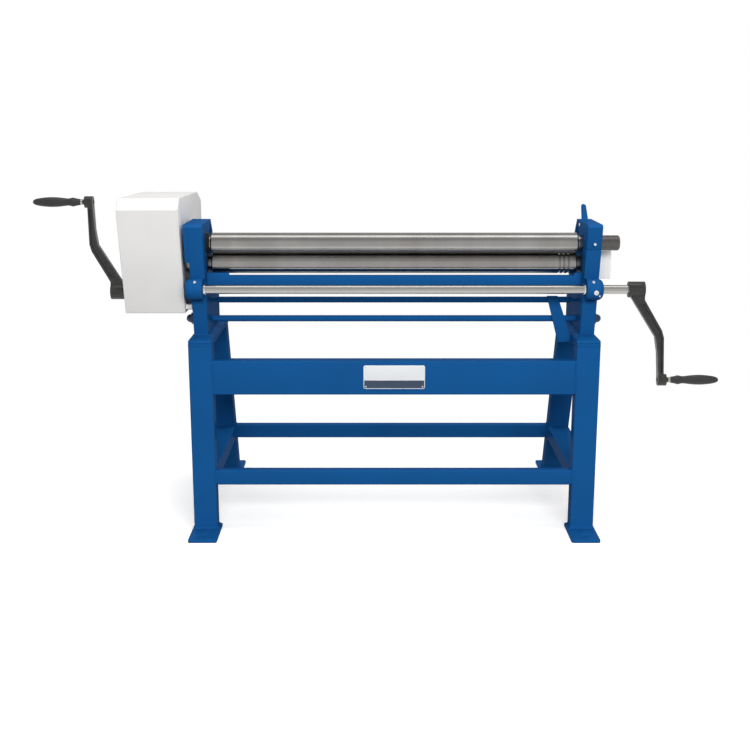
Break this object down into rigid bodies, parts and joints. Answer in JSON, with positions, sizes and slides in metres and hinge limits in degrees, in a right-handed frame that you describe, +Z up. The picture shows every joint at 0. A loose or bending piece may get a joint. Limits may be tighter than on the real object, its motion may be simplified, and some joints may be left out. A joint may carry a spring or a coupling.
{
  "type": "manual slip roll",
  "caption": "Hand-cranked slip roll on a four-legged blue stand, with two geared feed rolls, an adjustable bending roll behind them and a crank at each end.",
  "frame": {"origin": "on the floor, in the middle of the four anchor holes of the feet", "axes": "+X along the rolls to the adjusting crank, +Y to the back, +Z up"},
  "size_m": [1.992, 0.8, 0.991],
  "materials": {
    "blue_paint": "semi-gloss enamel on steel",
    "white_paint": "satin powder coat on sheet steel",
    "ground_steel": "cylindrically ground",
    "drawn_steel": "bright drawn bar",
    "zinc_steel": "zinc plated",
    "block_iron": "machined and oiled",
    "crank_iron": "sand cast, dark varnish",
    "black_plastic": "moulded, satin",
    "dark_hardware": "black oxide, painted over",
    "blank_plate": "anodised, bare"
  },
  "bodies": {
    "stand": {"front_leg_left": "blue_paint", "front_leg_right": "blue_paint", "rear_leg_left": "blue_paint", "rear_leg_right": "blue_paint", "front_foot_left": "blue_paint", "front_foot_right": "blue_paint", "rear_foot_left": "blue_paint", "rear_foot_right": "blue_paint", "top_plate_left": "blue_paint", "top_plate_right": "blue_paint", "front_beam": "blue_paint", "front_stretcher": "blue_paint", "rear_stretcher": "blue_paint", "side_rails": "blue_paint", "name_plate": "blank_plate", "head_foot_left": "blue_paint", "head_foot_right": "blue_paint", "housing_left": "blue_paint", "housing_right": "blue_paint", "bearing_plate_left": "blue_paint", "cap_pin": "zinc_steel", "bar_upper": "blue_paint", "bar_lower": "blue_paint", "tie_rod": "blue_paint", "tie_nuts": "dark_hardware", "diagonal_strut": "blue_paint", "worm_box_left": "blue_paint", "worm_box_right": "blue_paint", "adjuster_cover": "white_paint", "gear_cover": "white_paint", "gear_cover_back": "white_paint"},
    "cap": {"bearing_cap": "blue_paint"},
    "top_roll": {"top_roll": "ground_steel"},
    "lower_roll": {"lower_roll": "ground_steel"},
    "bending_carriage": {"bearing_block_left": "block_iron", "bearing_block_right": "block_iron"},
    "bending_roll": {"bending_roll": "ground_steel"},
    "adjusting_crank": {"adjusting_shaft": "drawn_steel", "adjusting_crank_arm": "crank_iron", "adjusting_grip_pin": "zinc_steel"},
    "adjusting_grip": {"adjusting_grip": "black_plastic"},
    "drive_crank": {"drive_shaft": "drawn_steel", "drive_crank_arm": "crank_iron", "drive_grip_pin": "zinc_steel"},
    "drive_grip": {"drive_grip": "black_plastic"}
  },
  "joints": [
    {"name": "drive_crank_turn", "type": "hinge", "parent": "stand", "child": "drive_crank", "pos_m": [-0.8, -0.2, 0.711], "axis": [1, 0, 0], "continuous": true},
    {"name": "drive_grip_spin", "type": "hinge", "parent": "drive_crank", "child": "drive_grip", "pos_m": [-0.95, -0.17725, 0.97101], "axis": [1, 0, 0], "continuous": true},
    {"name": "lower_roll_spin", "type": "hinge", "parent": "stand", "child": "lower_roll", "pos_m": [0, -0.21221, 0.79684], "axis": [1, 0, 0], "continuous": true},
    {"name": "top_roll_spin", "type": "hinge", "parent": "stand", "child": "top_roll", "pos_m": [0, -0.225, 0.857], "axis": [1, 0, 0], "continuous": true},
    {"name": "adjusting_crank_turn", "type": "hinge", "parent": "stand", "child": "adjusting_crank", "pos_m": [0, -0.3, 0.732], "axis": [1, 0, 0], "range_deg": [-2730, 3595]},
    {"name": "adjusting_grip_spin", "type": "hinge", "parent": "adjusting_crank", "child": "adjusting_grip", "pos_m": [0.86, -0.32275, 0.47199], "axis": [1, 0, 0], "continuous": true},
    {"name": "bending_roll_lift", "type": "slide", "parent": "stand", "child": "bending_carriage", "axis": [0, -0.515, 0.8572], "range_m": [-0.038, 0.05]},
    {"name": "bending_roll_spin", "type": "hinge", "parent": "bending_carriage", "child": "bending_roll", "pos_m": [0, -0.10968, 0.82812], "axis": [1, 0, 0], "continuous": true},
    {"name": "bearing_cap_hinge", "type": "hinge", "parent": "stand", "child": "cap", "pos_m": [0.565, -0.188, 0.906], "axis": [-1, 0, 0], "range_deg": [0, 80]}
  ],
  "couplings": [
    {"joint": "lower_roll_spin", "follows": "drive_crank_turn", "ratio": -0.33333},
    {"joint": "top_roll_spin", "follows": "drive_crank_turn", "ratio": 0.33333},
    {"joint": "bending_roll_lift", "follows": "adjusting_crank_turn", "m_per_rad": 0.00079577}
  ]
}
